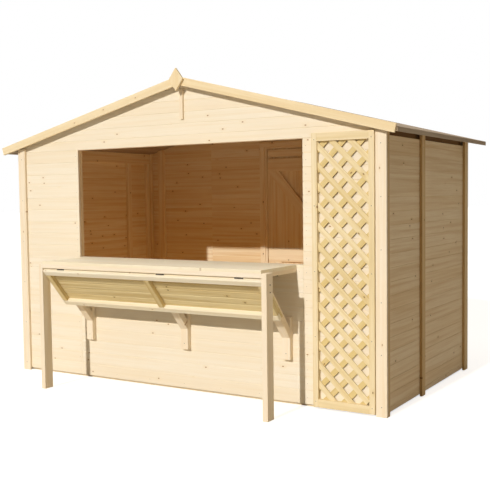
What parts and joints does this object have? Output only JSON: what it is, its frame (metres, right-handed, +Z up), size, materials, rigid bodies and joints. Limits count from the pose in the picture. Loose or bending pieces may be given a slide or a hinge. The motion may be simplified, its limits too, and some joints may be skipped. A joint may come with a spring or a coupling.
{
  "type": "wooden kiosk",
  "caption": "Small gabled wooden kiosk: boarded walls, wide serving opening with a bi-fold hatch opened out as a counter, trellis panel, diamond finial and a hinged back door.",
  "frame": {"origin": "on the floor, on the underside of the front wall's sole, in the middle of the walls' width", "axes": "+X to the right seen from the front, +Y from the front wall into the kiosk, +Z up"},
  "size_m": [3.207, 2.224, 2.1735],
  "materials": {
    "pine": "sawn, unpainted",
    "frame_timber": "planed, unpainted",
    "roof_boards": "sawn, unpainted",
    "zinc_steel": "galvanised"
  },
  "bodies": {
    "building": {"back_gable": "pine", "back_left_wall": "pine", "back_rails": "frame_timber", "back_right_wall": "pine", "back_studs": "frame_timber", "bracket_battens": "pine", "bracket_struts": "pine", "corner_trims": "pine", "counter_battens": "pine", "counter_boards": "pine", "counter_legs": "pine", "counter_rails": "pine", "door_posts": "frame_timber", "eaves_battens": "frame_timber", "finial": "pine", "front_gable": "pine", "front_left_wall": "pine", "front_parapet": "pine", "front_posts": "frame_timber", "front_rails": "frame_timber", "front_right_wall": "pine", "gable_block": "pine", "hinge_plates": "zinc_steel", "leaf_battens": "pine", "leaf_boards": "pine", "leaf_rails": "pine", "left_barge_board": "pine", "left_wall_back": "pine", "left_wall_front": "pine", "purlins": "frame_timber", "right_barge_board": "pine", "right_wall_back": "pine", "right_wall_front": "pine", "roof_left": "roof_boards", "roof_right": "roof_boards", "side_rails": "frame_timber", "side_studs": "frame_timber", "side_trims": "pine", "sill": "pine", "trellis_laths": "pine", "trellis_rails": "pine", "trellis_stiles": "pine"},
    "door": {"door_boards": "pine", "door_ledges": "pine", "door_braces": "pine", "door_straps": "zinc_steel", "door_handle": "pine"}
  },
  "joints": [
    {"name": "door_hinge", "type": "hinge", "parent": "building", "child": "door", "pos_m": [0.489, 1.5468, 0], "axis": [0, 0, -1], "range_deg": [0, 100]}
  ]
}
